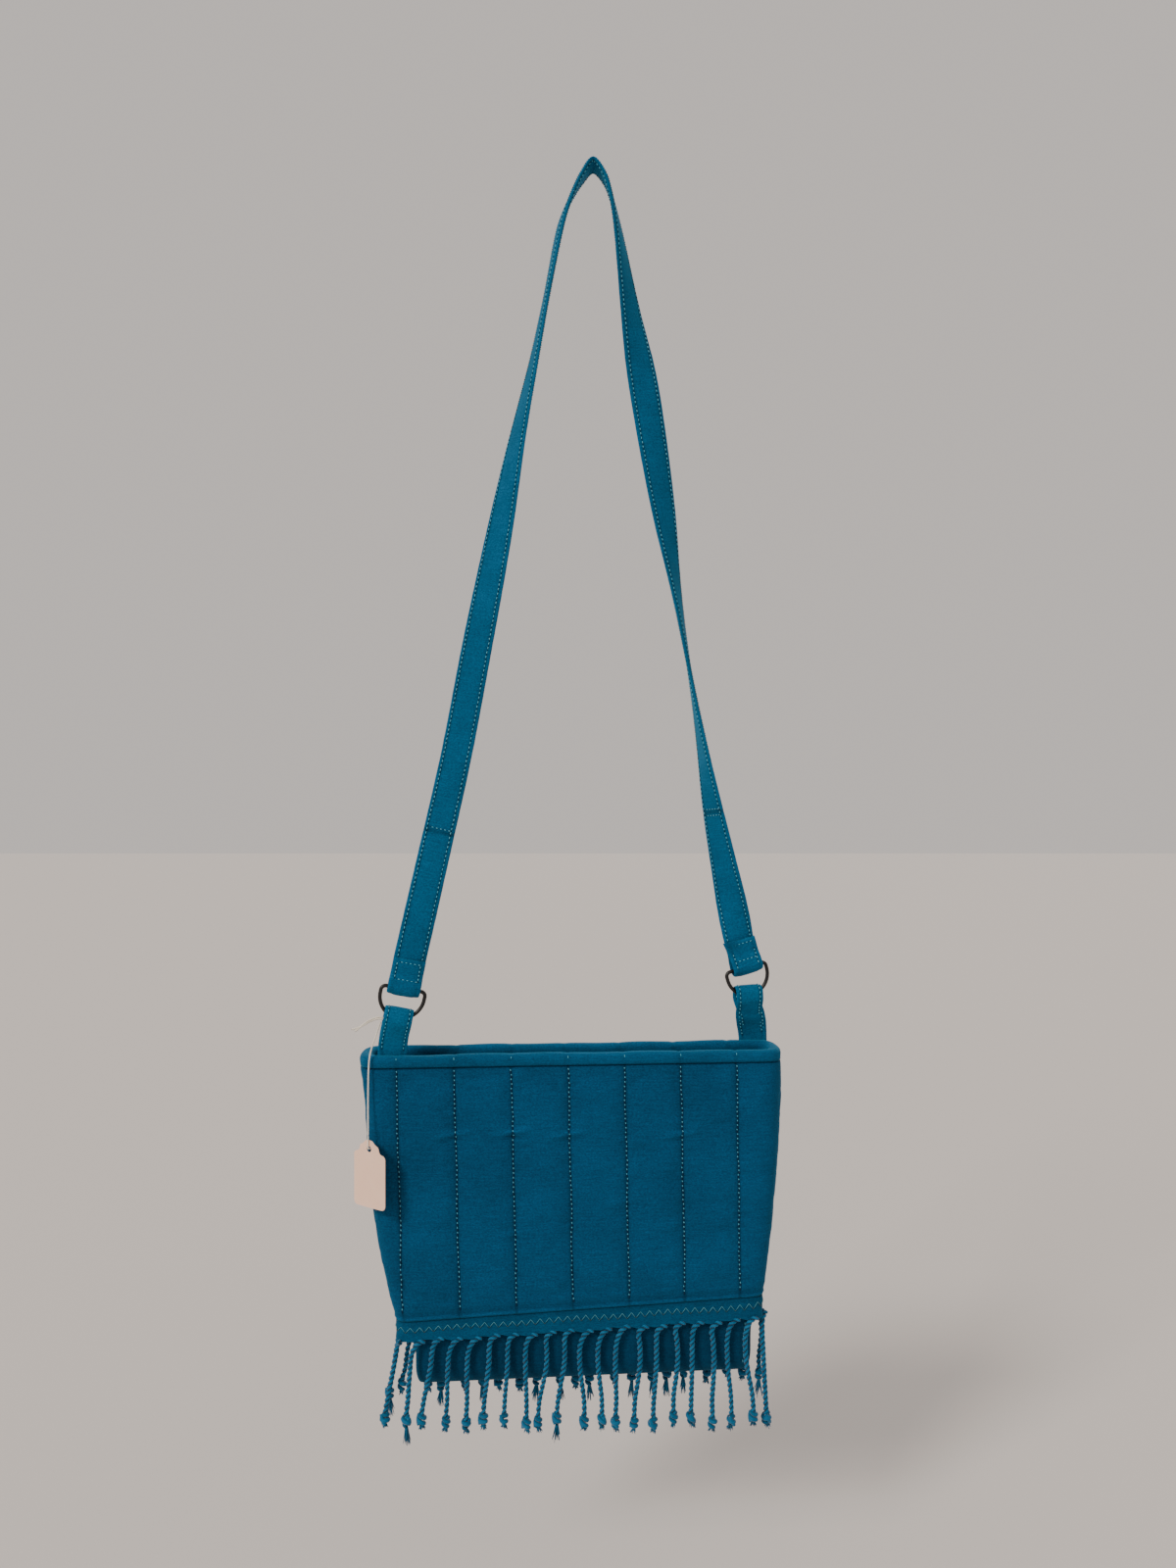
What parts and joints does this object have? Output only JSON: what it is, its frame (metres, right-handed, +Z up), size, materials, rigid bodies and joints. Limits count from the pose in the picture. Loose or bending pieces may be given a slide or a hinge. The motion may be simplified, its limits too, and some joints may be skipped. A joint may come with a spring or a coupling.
{
  "type": "fringed shoulder bag",
  "caption": "Small blue shoulder bag of brushed woven cloth, quilted, with a knotted fringe, a long strap on two rings and a bare hang tag.",
  "frame": {"origin": "the underside of the strap's top, where a hook or a shoulder holds it", "axes": "+Z up, -Y out of the bag's front, +X to the right as the front is seen"},
  "size_m": [0.2883, 0.0719, 0.8616],
  "materials": {
    "cloth": "brushed blue woven cloth, quilted, with fine ribs",
    "strap_cloth": "the same cloth folded and edge-stitched",
    "binding_cloth": "the same cloth, padded",
    "base_cloth": "the same cloth, plain",
    "yarn": "twisted and knotted warp yarn",
    "tab_cloth": "the same cloth folded and edge-stitched",
    "wire": "black enamelled wire",
    "card": "pale uncoated card",
    "thread": "white cotton string"
  },
  "bodies": {
    "strap": {"strap": "strap_cloth"},
    "left_ring": {"left_d_ring": "wire"},
    "right_ring": {"right_d_ring": "wire"},
    "bag": {"left_tab": "tab_cloth", "right_tab": "tab_cloth", "rim_binding": "binding_cloth", "front_panel": "cloth", "back_panel": "cloth", "lower_body": "base_cloth", "front_fringe": "yarn", "back_fringe": "yarn"},
    "tag": {"hang_tag": "card", "tag_string": "thread"}
  },
  "joints": [
    {"name": "left_ring_swing", "type": "hinge", "parent": "strap", "child": "left_ring", "pos_m": [-0.12669, -0.01744, -0.559], "axis": [0.9844, 0.1729, 0.0321], "range_deg": [-20, 20]},
    {"name": "right_ring_swing", "type": "hinge", "parent": "strap", "child": "right_ring", "pos_m": [0.10745, 0.02369, -0.55136], "axis": [0.9844, 0.1729, 0.0321], "range_deg": [-20, 20]},
    {"name": "bag_swing", "type": "hinge", "parent": "left_ring", "child": "bag", "pos_m": [-0.1299, -0.018, -0.5748], "axis": [0.9844, 0.1729, 0.0321], "range_deg": [-20, 20]},
    {"name": "tag_lift", "type": "hinge", "parent": "bag", "child": "tag", "pos_m": [-0.14186, -0.0201, -0.58097], "axis": [-0.9974, -0.0715, 0], "range_deg": [0, 70]}
  ],
  "couplings": [
    {"joint": "right_ring_swing", "follows": "left_ring_swing", "ratio": 1}
  ]
}
